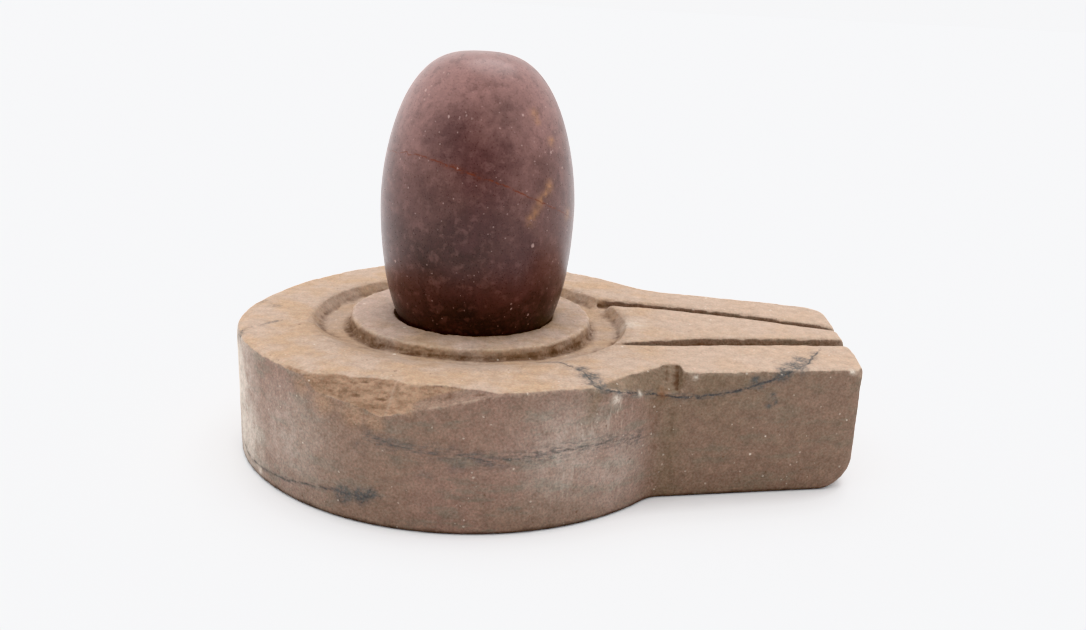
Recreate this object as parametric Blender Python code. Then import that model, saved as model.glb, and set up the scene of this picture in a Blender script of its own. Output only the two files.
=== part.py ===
"""Shiva lingam: a polished river stone standing loose in a carved sandstone base.

Units are metres and +Z is up. The origin lies on the underside, below the drum's centre.
The spout points along +X, and its near side faces -Y.
"""

from math import atan2, ceil, cos, pi, radians, sin, sqrt

import bmesh
import bpy
from mathutils import Vector, noise

# Drum
DRUM_RADIUS = 0.0700
DRUM_DRAFT = 0.0004
BASE_HEIGHT = 0.0389
WORN_FLAT_DEPTH = 0.0030
WORN_FLAT_ANGLE = radians(152)
WORN_FLAT_HALF_SPAN = radians(45)
PROUD_SIDE_RISE = 0.0008
PROUD_SIDE_ANGLE = radians(200)
PROUD_SIDE_HALF_SPAN = radians(40)

# Spout: its reach from the origin along the near side, how much shorter the far side is, and its
# half-widths at two stations
FRONT_REACH = 0.1164
END_SKEW = 0.0004
ROOT_STATION = 0.0600
TIP_STATION = 0.1147
FRONT_ROOT_TOP = 0.0415
FRONT_ROOT_FOOT = 0.0388
FRONT_TIP_TOP = 0.0273
FRONT_TIP_FOOT = 0.0240
BACK_ROOT_TOP = 0.0442
BACK_ROOT_FOOT = 0.0425
BACK_TIP_TOP = 0.0360
BACK_TIP_FOOT = 0.0330
END_FOOT_SPREAD = 0.0010
END_BULGE = 0.0008
END_BULGE_Y = -0.0125
END_BULGE_HALF_SPAN = 0.0180
FRONT_FILLET_TOP = 0.0050
FRONT_FILLET_FOOT = 0.0090
BACK_FILLET = 0.0280
FRONT_CORNER = 0.0045
BACK_CORNER = 0.0065

# Rounded edges
TOP_EDGE = 0.0012
FOOT_EDGE = 0.0008
END_TOP_EDGE = 0.0020
END_FOOT_EDGE = 0.0090

# Moat around the raised seat
MOAT_RADIUS = 0.04865
MOAT_DEPTH = 0.0032
MOAT_WALL_RUN = 0.0022
MOAT_FRONT_DEPTH = 0.0026
MOAT_FRONT_RUN = 0.0075
MOAT_FILLET = 0.0015
SEAT_RADIUS = 0.0370
SEAT_RISE = 0.0012
SEAT_WALL_RUN = 0.0006
SEAT_EDGE = 0.0007

# Drain grooves: each station is its distance from the origin, its centre line's offset and its width
GROOVE_DEPTH = 0.0030
GROOVE_WALL_RUN = 0.0005
FRONT_GROOVE_STATIONS = (
    (0.0440, -0.0184, 0.0013),
    (0.0580, -0.0143, 0.0046),
    (0.0710, -0.0106, 0.0072),
    (0.1147, -0.0018, 0.0062),
)
BACK_GROOVE_STATIONS = (
    (0.0390, 0.0258, 0.0066),
    (0.0600, 0.0248, 0.0049),
    (0.0870, 0.0200, 0.0048),
    (0.1147, 0.0121, 0.0046),
)

# River stone, above and below its widest ring
STONE_RADIUS = 0.0294
STONE_UPPER_HEIGHT = 0.0456
STONE_LOWER_HEIGHT = 0.0465
STONE_SUNK = 0.0126
STONE_OFFSET = 0.0008
STONE_LEAN = 0.0006
UPPER_SHAPE = (1.73, 2.85)
LOWER_SHAPE = (2.00, 3.96)
SOCKET_CLEARANCE = 0.0004

# Chips in the drum's rim: each station is its angle, its width across the top and its drop
SCAR_STATIONS = (
    (radians(-127), 0.0002, 0.0003),
    (radians(-121), 0.0010, 0.0030),
    (radians(-116), 0.0046, 0.0048),
    (radians(-110), 0.0066, 0.0050),
    (radians(-105), 0.0084, 0.0068),
    (radians(-101), 0.0094, 0.0076),
    (radians(-97), 0.0072, 0.0056),
)
SCOOP_STATIONS = (
    (radians(-103), 0.0060, 0.0052),
    (radians(-98), 0.0066, 0.0064),
    (radians(-92), 0.0066, 0.0046),
    (radians(-87), 0.0060, 0.0034),
    (radians(-81), 0.0036, 0.0016),
    (radians(-76), 0.0002, 0.0002),
)
# Broken corner between drum and spout. A drum station is an angle short of the junction, then the
# width and the drop. A spout station is the top edge's distance past the junction and its width,
# then the foot's distance and its drop.
BREAK_DRUM_STATIONS = (
    (radians(20), 0.0002, 0.0002),
    (radians(16), 0.0010, 0.0006),
    (radians(12.5), 0.0033, 0.0014),
    (radians(6.5), 0.0042, 0.0036),
    (radians(0.6), 0.0036, 0.0060),
)
BREAK_WALL_STATIONS = (
    (0.0013, 0.0058, 0.0000, 0.0065),
    (0.0049, 0.0086, 0.0026, 0.0069),
    (0.0083, 0.0083, 0.0056, 0.0072),
    (0.0078, 0.0020, 0.0066, 0.0072),
    (0.0090, 0.0003, 0.0086, 0.0030),
)
SCAR_ROUGHNESS = 0.0009
SCAR_GRAIN = 0.0028
SCOOP_HOLLOW = 0.0008
CUT_MARGIN = 0.0060

# Facets
DRUM_STEPS = 72
RING_STEPS = 72
STONE_STEPS = 48
STONE_HALF_RINGS = 13
FILLET_STEPS = 6
SIDE_STEPS = 5
END_STEPS = 6
SMOOTH_ANGLE = radians(35)

DRUM_FOOT_RADIUS = DRUM_RADIUS - DRUM_DRAFT
BACK_REACH = FRONT_REACH - END_SKEW
SEAT_TOP = BASE_HEIGHT + SEAT_RISE
MOAT_FLOOR = BASE_HEIGHT - MOAT_DEPTH


def mix(low, high, share):
    return low + (high - low) * share


def ease(value, low, high):
    """Smooth step from 0 at low to 1 at high."""
    share = min(1.0, max(0.0, (value - low) / (high - low)))
    return share * share * (3 - 2 * share)


def arc(centre, radius, start, end, steps):
    """Points along an arc in plan, both ends included."""
    angles = [mix(start, end, i / steps) for i in range(steps + 1)]
    return [(centre[0] + radius * cos(a), centre[1] + radius * sin(a)) for a in angles]


def angle_of(vector):
    return atan2(vector[1], vector[0])


def round_inset(distance, radius):
    """How far a rounded edge stands back at this distance from the face."""
    if distance >= radius:
        return 0.0
    return radius - sqrt(radius ** 2 - (radius - distance) ** 2)


def edge_inset(height, top, foot):
    return round_inset(BASE_HEIGHT - height, top) + round_inset(height, foot)


def side_line(side, height):
    """Normal and distance of the spout's front (-1) or back (+1) wall at this height."""
    share = height / BASE_HEIGHT
    if side < 0:
        root = mix(FRONT_ROOT_FOOT, FRONT_ROOT_TOP, share)
        tip = mix(FRONT_TIP_FOOT, FRONT_TIP_TOP, share)
    else:
        root = mix(BACK_ROOT_FOOT, BACK_ROOT_TOP, share)
        tip = mix(BACK_TIP_FOOT, BACK_TIP_TOP, share)
    start = Vector((ROOT_STATION, side * root))
    along = (Vector((TIP_STATION, side * tip)) - start).normalized()
    normal = side * Vector((-along.y, along.x))
    return normal, normal.dot(start)


def fillet_centre(side, height, radius):
    """Centre of the hollow fillet between the drum and one wall of the spout."""
    normal, distance = side_line(side, height)
    drum = mix(DRUM_FOOT_RADIUS, DRUM_RADIUS, height / BASE_HEIGHT)
    along = side * Vector((normal.y, -normal.x))
    reach = sqrt((drum + radius) ** 2 - (distance + radius) ** 2)
    return normal * (distance + radius) + along * reach


def front_fillet(height):
    return mix(FRONT_FILLET_FOOT, FRONT_FILLET_TOP, height / BASE_HEIGHT)


def corner_centre(side, height, radius, inset, end_inset):
    """Centre of the rounded corner at the spout's tip."""
    normal, distance = side_line(side, height)
    reach = FRONT_REACH if side < 0 else BACK_REACH
    x = reach + mix(END_FOOT_SPREAD, 0.0, height / BASE_HEIGHT) - end_inset - radius
    y = (distance - inset - radius - normal.x * x) / normal.y
    return Vector((x, y))


def hump(angle, centre, half_span):
    """Share of a smooth local rise: 1 at its centre and 0 from its half-span on."""
    off = abs(angle - centre) / half_span
    return cos(off * pi / 2) ** 2 if off < 1 else 0.0


def drum_arc(height, inset, start, end):
    """The drum's slightly uneven round, anticlockwise from start to end."""
    radius = mix(DRUM_FOOT_RADIUS, DRUM_RADIUS, height / BASE_HEIGHT) - inset
    points = []
    for i in range(DRUM_STEPS + 1):
        angle = mix(start, end, i / DRUM_STEPS)
        reach = radius - WORN_FLAT_DEPTH * hump(angle, WORN_FLAT_ANGLE, WORN_FLAT_HALF_SPAN)
        reach += PROUD_SIDE_RISE * hump(angle, PROUD_SIDE_ANGLE, PROUD_SIDE_HALF_SPAN)
        points.append((reach * cos(angle), reach * sin(angle)))
    return points


def end_face(front, back):
    """Points between the two tip corners, bowed outwards beside the front corner."""
    points = []
    for i in range(1, END_STEPS):
        share = i / END_STEPS
        y = mix(front[1], back[1], share)
        bow = END_BULGE * hump(y, END_BULGE_Y, END_BULGE_HALF_SPAN)
        points.append((mix(front[0], back[0], share) + bow, y))
    return points


def straight(start, end):
    """Points strictly between two ends of a wall."""
    shares = [i / SIDE_STEPS for i in range(1, SIDE_STEPS)]
    return [(mix(start[0], end[0], s), mix(start[1], end[1], s)) for s in shares]


def base_outline(height):
    """Plan outline of the base at this height, anticlockwise from the drum's back."""
    inset = edge_inset(height, TOP_EDGE, FOOT_EDGE)
    end_inset = edge_inset(height, END_TOP_EDGE, END_FOOT_EDGE)
    fillets = {}
    corners = {}
    walls = ((-1, front_fillet(height), FRONT_CORNER), (1, BACK_FILLET, BACK_CORNER))
    for side, fillet, corner in walls:
        normal = side_line(side, height)[0]
        centre = fillet_centre(side, height, fillet)
        fillets[side] = arc(centre, fillet + inset, angle_of(-centre), angle_of(-normal), FILLET_STEPS)
        centre = corner_centre(side, height, corner, inset, end_inset)
        corners[side] = arc(centre, corner, angle_of(normal), 0.0, FILLET_STEPS)
    back_start = angle_of(fillets[1][0])
    front_end = angle_of(fillets[-1][0]) + 2 * pi
    outline = drum_arc(height, inset, back_start, front_end)[:-1]
    outline += fillets[-1]
    outline += straight(fillets[-1][-1], corners[-1][0])
    outline += corners[-1]
    outline += end_face(corners[-1][-1], corners[1][-1])
    outline += corners[1][::-1]
    outline += straight(corners[1][0], fillets[1][-1])
    outline += fillets[1][:0:-1]
    return outline


def base_levels():
    """Heights at which the base's outline is taken, close together along rounded edges."""
    levels = {0.0, BASE_HEIGHT}
    for radius, steps in ((END_FOOT_EDGE, 5), (FOOT_EDGE, 2)):
        levels |= {radius * (1 - cos(pi / 2 * i / steps)) for i in range(1, steps + 1)}
    for radius, steps in ((END_TOP_EDGE, 3), (TOP_EDGE, 2)):
        levels |= {BASE_HEIGHT - radius * (1 - cos(pi / 2 * i / steps)) for i in range(1, steps + 1)}
    return sorted(levels)


def mesh_object(name, shape, material=None):
    """Turn a bmesh into an object with outward faces and smooth round parts."""
    bmesh.ops.recalc_face_normals(shape, faces=shape.faces)
    mesh = bpy.data.meshes.new(name)
    shape.to_mesh(mesh)
    shape.free()
    mesh.shade_smooth()
    mesh.set_sharp_from_angle(angle=SMOOTH_ANGLE)
    if material:
        mesh.materials.append(material)
    item = bpy.data.objects.new(name, mesh)
    bpy.context.scene.collection.objects.link(item)
    return item


def loft(rings):
    """Closed body through rings of equal count, capped at both ends."""
    shape = bmesh.new()
    rows = [[shape.verts.new(point) for point in ring] for ring in rings]
    for low, high in zip(rows, rows[1:]):
        for i in range(len(low)):
            j = (i + 1) % len(low)
            shape.faces.new((low[i], low[j], high[j], high[i]))
    shape.faces.new(rows[0][::-1])
    shape.faces.new(rows[-1])
    return shape


def turned(sections, drift=None):
    """Closed body around Z through one profile for each step, their ends on the axis."""
    shape = bmesh.new()
    steps = len(sections)
    rows = []
    for level in range(1, len(sections[0]) - 1):
        row = []
        for i, section in enumerate(sections):
            radius, height = section[level]
            angle = 2 * pi * i / steps
            shift = drift(height) if drift else 0.0
            row.append(shape.verts.new((shift + radius * cos(angle), radius * sin(angle), height)))
        rows.append(row)
    for low, high in zip(rows, rows[1:]):
        for i in range(steps):
            j = (i + 1) % steps
            shape.faces.new((low[i], low[j], high[j], high[i]))
    for row, height in ((rows[0], sections[0][0][1]), (rows[-1], sections[0][-1][1])):
        pole = shape.verts.new((drift(height) if drift else 0.0, 0.0, height))
        for i in range(steps):
            shape.faces.new((row[i], row[(i + 1) % steps], pole))
    return shape


def stone_profile(gap=0.0):
    """Stone's profile from its foot to its crown, as radius and height above the seat."""
    widest = STONE_LOWER_HEIGHT - STONE_SUNK
    profile = []
    for i in range(-STONE_HALF_RINGS, STONE_HALF_RINGS + 1):
        rise = sin(pi / 2 * i / STONE_HALF_RINGS)
        reach, (power, root) = STONE_UPPER_HEIGHT, UPPER_SHAPE
        if i < 0:
            reach, (power, root) = STONE_LOWER_HEIGHT, LOWER_SHAPE
        radius = STONE_RADIUS * max(0.0, 1 - abs(rise) ** power) ** (1 / root)
        profile.append((radius, widest + reach * rise))
    if not gap:
        return profile
    return offset_profile(profile, gap)


def offset_profile(profile, gap):
    """The profile moved outwards by a gap, square to its own run."""
    moved = [(0.0, profile[0][1] - gap)]
    for before, here, after in zip(profile, profile[1:], profile[2:]):
        run = Vector((after[0] - before[0], after[1] - before[1])).normalized()
        moved.append((here[0] + gap * run.y, here[1] - gap * run.x))
    moved.append((0.0, profile[-1][1] + gap))
    return moved


def stone_drift(height):
    """Sideways drift of the stone's slightly leaning axis."""
    return STONE_LEAN * height / (STONE_UPPER_HEIGHT + STONE_LOWER_HEIGHT - STONE_SUNK)


def cutter(name, shape, parent):
    """Helper body used by a Boolean only."""
    item = mesh_object(name, shape)
    item.parent = parent
    item.hide_render = True
    item.display_type = 'WIRE'
    return item


def combine(item, operand, operation):
    modifier = item.modifiers.new(operand.name, 'BOOLEAN')
    modifier.operation = operation
    modifier.solver = 'EXACT'
    modifier.object = operand


def moat_section(angle):
    """The moat's section at this angle: a steep wall at the back, a long ramp at the front."""
    front = ease(-sin(angle), 0.25, 0.75)
    run = mix(MOAT_WALL_RUN, MOAT_FRONT_RUN, front)
    depth = mix(MOAT_DEPTH, MOAT_FRONT_DEPTH, front)
    floor = BASE_HEIGHT - depth
    wall_foot = Vector((MOAT_RADIUS - run, floor))
    wall = Vector((run, depth))
    flat_end = wall_foot - Vector((MOAT_FILLET, 0.0))
    wall_start = wall_foot + wall.normalized() * MOAT_FILLET
    bend = (flat_end + wall_foot * 2 + wall_start) / 4
    wall_end = wall_foot + wall * (1 + CUT_MARGIN / depth)
    return [(0.0, MOAT_FLOOR), flat_end, bend, wall_start, wall_end, (0.0, wall_end.y)]


def moat_body():
    """Round pocket that becomes the moat once the seat stands in it."""
    return turned([moat_section(2 * pi * i / RING_STEPS) for i in range(RING_STEPS)])


def seat_body():
    """Raised round seat, rooted below the moat's floor."""
    profile = [
        (0.0, MOAT_FLOOR - CUT_MARGIN / 2),
        (SEAT_RADIUS + SEAT_WALL_RUN, MOAT_FLOOR - CUT_MARGIN / 2),
        (SEAT_RADIUS + SEAT_WALL_RUN, MOAT_FLOOR),
        (SEAT_RADIUS, SEAT_TOP - SEAT_EDGE),
        (SEAT_RADIUS - SEAT_EDGE * 0.3, SEAT_TOP - SEAT_EDGE * 0.3),
        (SEAT_RADIUS - SEAT_EDGE, SEAT_TOP),
        (0.0, SEAT_TOP),
    ]
    return turned([profile] * RING_STEPS)


def socket_body():
    """Dished socket: the foot of the stone's own profile, larger by the clearance."""
    profile = [point for point in stone_profile(SOCKET_CLEARANCE) if point[1] < CUT_MARGIN]
    profile.append((0.0, profile[-1][1]))
    return turned([profile] * STONE_STEPS, stone_drift)


def groove_body(stations):
    """Drain groove along its stations, from inside the moat out past the spout's end."""
    (x0, y0, w0), (x1, y1, w1) = stations[-2:]
    end = max(FRONT_REACH, BACK_REACH) + CUT_MARGIN
    share = (end - x0) / (x1 - x0)
    flare = GROOVE_WALL_RUN * CUT_MARGIN / GROOVE_DEPTH
    floor = BASE_HEIGHT - GROOVE_DEPTH
    rings = []
    for x, centre, width in (*stations[:-1], (end, mix(y0, y1, share), mix(w0, w1, share))):
        half = width / 2
        rings.append([
            (x, centre - half + GROOVE_WALL_RUN, floor),
            (x, centre + half - GROOVE_WALL_RUN, floor),
            (x, centre + half + flare, BASE_HEIGHT + CUT_MARGIN),
            (x, centre - half - flare, BASE_HEIGHT + CUT_MARGIN),
        ])
    return loft(rings)


def chip_body(rows, hollow, roughness):
    """Chip cutter between a top edge and a foot, each row a pair of points.

    The broken face between them is hollowed or roughened, and the body runs on past the rim.
    """
    rings = []
    for top, foot in rows:
        fall = (foot - top).normalized()
        outward = Vector((fall.x, fall.y, 0.0)).normalized()
        face = Vector((outward.x * -fall.z, outward.y * -fall.z, Vector((fall.x, fall.y)).length))
        ring = [top - fall * CUT_MARGIN]
        for share in (0.0, 0.25, 0.5, 0.75, 1.0):
            point = top.lerp(foot, share)
            bump = roughness * noise.noise(point / SCAR_GRAIN)
            ring.append(point + face * (bump - hollow * sin(pi * share)))
        beyond = foot + fall * CUT_MARGIN
        ring.append(beyond)
        ring.append(Vector((beyond.x, beyond.y, BASE_HEIGHT)) + Vector((0, 0, CUT_MARGIN)))
        rings.append(ring)
    return loft(rings)


def rim_rows(stations, step):
    """Chip rows along the drum's rim, filled in between the stations."""
    rows = []
    for (a0, w0, d0), (a1, w1, d1) in zip(stations, stations[1:]):
        count = ceil(abs(a1 - a0) / step)
        for i in range(count):
            share = i / count
            rows.append(rim_row(mix(a0, a1, share), mix(w0, w1, share), mix(d0, d1, share)))
    rows.append(rim_row(*stations[-1]))
    return rows


def rim_row(angle, width, drop):
    outward = Vector((cos(angle), sin(angle), 0.0))
    top = outward * (DRUM_RADIUS - width) + Vector((0, 0, BASE_HEIGHT))
    foot = outward * DRUM_RADIUS + Vector((0, 0, BASE_HEIGHT - drop))
    return top, foot


def break_rows():
    """Chip rows over the corner where the drum's rim meets the spout's front wall."""
    normal = side_line(-1, BASE_HEIGHT)[0].to_3d()
    along = Vector((-normal.y, normal.x, 0.0))
    centre = fillet_centre(-1, BASE_HEIGHT, FRONT_FILLET_TOP)
    junction = centre.to_3d() - normal * FRONT_FILLET_TOP + Vector((0, 0, BASE_HEIGHT))
    rows = [rim_row(angle_of(centre) - short, width, drop) for short, width, drop in BREAK_DRUM_STATIONS]
    for top_past, width, foot_past, drop in BREAK_WALL_STATIONS:
        top = junction + along * top_past - normal * width
        foot = junction + along * foot_past - Vector((0, 0, drop))
        rows.append((top, foot))
    return rows


def make_base(material):
    """Drum and spout, lofted up from the underside, then carved."""
    rings = [[(x, y, z) for x, y in base_outline(z)] for z in base_levels()]
    base = mesh_object("yoni_base", loft(rings), material)
    seat_place = Vector((STONE_OFFSET, 0.0, SEAT_TOP))
    combine(base, cutter("moat_cutter", moat_body(), base), 'DIFFERENCE')
    combine(base, cutter("seat_guide", seat_body(), base), 'UNION')
    socket = cutter("socket_cutter", socket_body(), base)
    socket.location = seat_place
    combine(base, socket, 'DIFFERENCE')
    front = groove_body(FRONT_GROOVE_STATIONS)
    combine(base, cutter("front_groove_cutter", front, base), 'DIFFERENCE')
    back = groove_body(BACK_GROOVE_STATIONS)
    combine(base, cutter("back_groove_cutter", back, base), 'DIFFERENCE')
    scar = chip_body(rim_rows(SCAR_STATIONS, radians(2)), 0.0, SCAR_ROUGHNESS)
    combine(base, cutter("scar_cutter", scar, base), 'DIFFERENCE')
    scoop = chip_body(rim_rows(SCOOP_STATIONS, radians(3)), SCOOP_HOLLOW, 0.0)
    combine(base, cutter("scoop_cutter", scoop, base), 'DIFFERENCE')
    broken = chip_body(break_rows(), 0.0, 0.0)
    combine(base, cutter("break_cutter", broken, base), 'DIFFERENCE')
    return base


def make_stone(material, base):
    """River stone standing in its socket."""
    stone = mesh_object("lingam_stone", turned([stone_profile()] * STONE_STEPS, stone_drift), material)
    stone.parent = base
    stone.location = (STONE_OFFSET, 0.0, SEAT_TOP)
    return stone


def stone_material(name, color, roughness):
    material = bpy.data.materials.new(name)
    material.use_nodes = True
    shader = material.node_tree.nodes["Principled BSDF"]
    shader.inputs["Base Color"].default_value = (*color, 1.0)
    shader.inputs["Roughness"].default_value = roughness
    shader.inputs["Metallic"].default_value = 0.0
    return material


def main():
    for item in list(bpy.data.objects):
        bpy.data.objects.remove(item)
    base = make_base(stone_material("sandstone", (0.36, 0.25, 0.19), 0.85))
    make_stone(stone_material("river_stone", (0.105, 0.052, 0.052), 0.38), base)


main()
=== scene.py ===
from math import cos, radians, sin

import bmesh
import bpy
import numpy as np
from mathutils import Matrix, Vector, noise


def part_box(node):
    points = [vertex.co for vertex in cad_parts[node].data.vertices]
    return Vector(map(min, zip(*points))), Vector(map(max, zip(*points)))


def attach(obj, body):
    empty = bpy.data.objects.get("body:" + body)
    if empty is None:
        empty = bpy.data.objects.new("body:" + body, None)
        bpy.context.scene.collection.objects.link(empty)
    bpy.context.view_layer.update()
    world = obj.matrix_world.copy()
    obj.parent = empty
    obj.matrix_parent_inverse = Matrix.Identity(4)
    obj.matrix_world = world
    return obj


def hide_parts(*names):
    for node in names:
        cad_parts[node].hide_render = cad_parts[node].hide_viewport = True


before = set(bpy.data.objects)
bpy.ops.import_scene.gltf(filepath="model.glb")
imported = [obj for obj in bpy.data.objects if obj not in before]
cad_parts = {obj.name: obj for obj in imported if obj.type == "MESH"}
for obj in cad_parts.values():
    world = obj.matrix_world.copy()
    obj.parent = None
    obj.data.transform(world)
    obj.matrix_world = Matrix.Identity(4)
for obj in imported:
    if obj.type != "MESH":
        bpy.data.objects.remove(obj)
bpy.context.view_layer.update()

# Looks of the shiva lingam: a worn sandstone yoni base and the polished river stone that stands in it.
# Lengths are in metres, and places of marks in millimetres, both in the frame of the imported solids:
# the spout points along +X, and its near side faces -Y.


def rgba(red, green, blue):
    return (red, green, blue, 1.0)


# Camera, fitted to the photograph
IMAGE_WIDTH = 1086
FOCAL_PIXELS = 1032.0
SENSOR = 36.0
CLIP_START = 0.01
CAMERA_PLACE = Vector((0.03856, -0.30844, 0.13335))
CAMERA_PITCH = 0.292
CAMERA_ROLL = 0.051
CAMERA_TURN = 0.052

# Places on the object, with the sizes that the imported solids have
STONE_LOW, STONE_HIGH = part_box("lingam_stone")
STONE_CENTRE_X = (STONE_LOW.x + STONE_HIGH.x) / 2
RIM_HEIGHT = 0.0389
RIM_MM = RIM_HEIGHT * 1000
DRUM_RADIUS = 0.0700
DRUM_DRAFT = 0.0004
SEAT_RADIUS = 0.0370
MOAT_RADIUS = 0.0486
SPOUT_WALL_ROOT = Vector((0.0600, -0.0415))
SPOUT_WALL_TIP = Vector((0.1147, -0.0273))
SPOUT_WALL_DRAFT = 0.0030
SPOUT_START = (0.050, 0.064)

# Centre lines of the two drain grooves: distances along the spout, then offsets across it
GROOVES = (
    ((0.0440, 0.0580, 0.0710, 0.1147), (-0.0184, -0.0143, -0.0106, -0.0018)),
    ((0.0390, 0.0600, 0.0870, 0.1147), (0.0258, 0.0248, 0.0200, 0.0121)),
)

# Sandstone's skin: its fineness, its smoothing, and how far a point may move on a plain face.
# Here and below, a pair of numbers says where a share begins to fade and where it ends.
VOXEL = 0.00046
WELD_DISTANCE = 0.000002
BASE_TRIANGLES = 190000
EDGE_SOFTENING_ROUNDS = 2
FACET_SOFTENING_ROUNDS = 36
PLAIN_MOVE = (0.00006, 0.00016)
PLAIN_ROUNDS = 4
HOLLOW_ROUNDS = 14
HOLLOW_FULL_DEPTH = 0.00016
HOLLOW_LIMIT = 2.0

# Rubbed edges: the rim's left side, the spout's end and the grooves
WORN_ROUNDS = 30
WORN_PULL = 0.6
WORN_HEIGHT = (0.026, 0.033)
WORN_SIDE_ANGLE = radians(-155)
WORN_SIDE = (0.040, 0.062)
LIGHT_WEAR = 0.3
WORN_END = (0.106, 0.112)
GROOVE_EDGE = (0.004, 0.006)
GROOVE_START = (0.038, 0.042)

# Breaks of the near side, with angles in degrees about the drum's axis
CORNER_OVERLAP = 0.012
CHIP_DEPTH = (0.0002, 0.0007)
CHIP_REACH = 0.052
CHIP_FOOT = (0.022, 0.027)
SCAR_START = (-130, -125)
SCOOP_START = (-102, -99)
EDGE_START = (-98, -92)
EDGE_SLANT = 3500
EDGE_SLANT_START = (-85, -79)
EDGE_END = (-64, -58)
BREAK_START = (0.036, 0.042)
BREAK_END = (0.074, 0.080)
BREAK_Y = -0.030

# Lean of the near wall's top and fill of the moat's front, angles in degrees as above
NEAR_LEAN = 0.0026
LEAN_START = (-100, -86)
LEAN_END = (-62, -50)
LEAN_RIM = (DRUM_RADIUS - 0.014, DRUM_RADIUS - 0.001)
LEAN_FOOT = 0.022
FRONT_FILL = 0.36
FILL_START = (-130, -112)
FILL_END = (-68, -50)
FILL_INNER = SEAT_RADIUS - 0.002
FILL_OUTER = (MOAT_RADIUS + 0.001, MOAT_RADIUS + 0.004)
FILL_DEEPEST = 0.0040

# Relief of the sandstone: the depth of each form, then its feature size, seed, octaves and stretch
SWELL_DEPTH = 0.00016
SWELL = (0.020, 1, 2)
DIMPLE_DEPTH = 0.00008
DIMPLES = (0.0045, 2, 2)
DRESSING_DEPTH = 0.00005
DRESSING = (0.0016, 3, 2)
ARRIS_CHIP_DEPTH = 0.00022
ARRIS_CHIPS = (0.0040, 4, 2)
ARRIS_CHIP_SHARE = (0.0, 0.5)
ARRIS_SHARPNESS = (0.3, 1.2)
SCAR_DEPTH = 0.00062
BREAK_DEPTH = 0.00020
LEDGES = (0.0024, 5, 3, (0.5, 0.5, 1.4))
TOOLING_DEPTH = 0.00025
TOOLING = (0.0012, 6, 2, (1.0, 1.0, 0.2))
LIP_DEPTH = 0.00034
LIP_BAND = (0.0012, 0.0026)
RAGGED_LIP = (0.0026, 7, 3, (0.6, 0.6, 1.3))
PIT_DEPTH = 0.00040
STILL_FOOT = (0.0002, 0.0030)
SEED_STEPS = (7.31, 3.17, 5.73)

# Tinted zones of the sandstone's top: the seat, the gap beside it with its painted shade, and the
# carved ring
SEAT_TINT = (SEAT_RADIUS - 0.0012, SEAT_RADIUS + 0.0010)
SEAT_SHADE = (-0.02, 0.03)
CREVICE_OFFSET = 0.0012
CREVICE_BAND = (0.0005, 0.0019)
CREVICE_TOP = (RIM_HEIGHT, RIM_HEIGHT + 0.0012)
CREVICE_BACK_SHARE = 0.35
CREVICE_FRONT = (-0.1, 0.5)
CARVED_END = (MOAT_RADIUS + 0.001, MOAT_RADIUS + 0.003)

# Veins: how far from its middle a vein is told apart, and where its line and its halo fade
VEIN_REACH = 0.0060
VEIN_LINE_FADE = (0.0013, 0.0024)
VEIN_HALO_FADE = (0.003, VEIN_REACH)
PLAIN_SPREAD = 0.001

# River stone: each shape is the power and the root of its profile
STONE_RADIUS = 0.0294
STONE_UPPER_HEIGHT = 0.0456
STONE_LOWER_HEIGHT = 0.0465
STONE_UPPER_SHAPE = (1.73, 2.85)
STONE_LOWER_SHAPE = (2.00, 3.96)
STONE_SUBDIVISIONS = 6
STONE_UNEVENNESS = 0.0002
STONE_UNEVENNESS_SIZE = 0.02

# Sandstone's colours
TOP_TAN = rgba(0.430, 0.298, 0.207)
TOP_PEACH = rgba(0.440, 0.330, 0.262)
TOP_MAUVE = rgba(0.520, 0.390, 0.330)
# Side colours: the sandstone's own tones, made darker than the tops as painted shade of the sides.
SIDE_BROWN = rgba(0.220, 0.152, 0.119)
SIDE_MAUVE = rgba(0.236, 0.156, 0.126)
SIDE_GREY = rgba(0.196, 0.157, 0.126)
# Pale dust, and painted light on the drum's left side.
DUST_AND_SIDE_LIGHT_GREY = rgba(0.660, 0.590, 0.525)
CHIP_TAN = rgba(0.338, 0.224, 0.156)
CHIP_BROWN = rgba(0.250, 0.160, 0.110)
# Dark brown of dirt and painted shade in hollows and gaps, also used for the dark grains.
HOLLOW_BROWN = rgba(0.098, 0.056, 0.038)
# Painted contact shadow along the bottom edge.
FOOT_CONTACT_SHADOW_BROWN = rgba(0.050, 0.038, 0.032)
WORN_PALE = rgba(0.520, 0.410, 0.320)
VEIN_BLUE = rgba(0.066, 0.068, 0.072)
STAIN_GREY = rgba(0.098, 0.098, 0.096)
RUST = rgba(0.200, 0.100, 0.055)
CHALK = rgba(0.720, 0.640, 0.550)
OLIVE = rgba(0.190, 0.140, 0.102)
GRAIN_PINK = rgba(1.035, 0.99, 0.98)
GRAIN_GREEN = rgba(0.97, 1.01, 1.005)

# River stone's colours
STONE_MAUVE = rgba(0.120, 0.061, 0.054)
STONE_PINK = rgba(0.255, 0.138, 0.125)
STONE_MAROON = rgba(0.080, 0.038, 0.036)
STONE_SLATE = rgba(0.030, 0.016, 0.013)
# Near-black painted contact shade at the stone's foot, where it meets the seat.
STONE_FOOT_SHADE = rgba(0.0095, 0.0085, 0.0095)
STONE_OCHRE = rgba(0.420, 0.210, 0.090)
STONE_RUST = rgba(0.135, 0.034, 0.016)
STONE_FLECK = rgba(0.480, 0.330, 0.300)

# Surface of both stones: roughness from low to high grains, shine, and strength and depth of bumps
SAND_ROUGHNESS = (0.85, 0.97)
SAND_SHINE = 0.2
SAND_BUMP = {"Strength": 0.5, "Distance": 0.00030}
STONE_ROUGHNESS = (0.27, 0.38)
STONE_SHINE = 0.38
STONE_BUMP = {"Strength": 0.04, "Distance": 0.0002}

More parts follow.
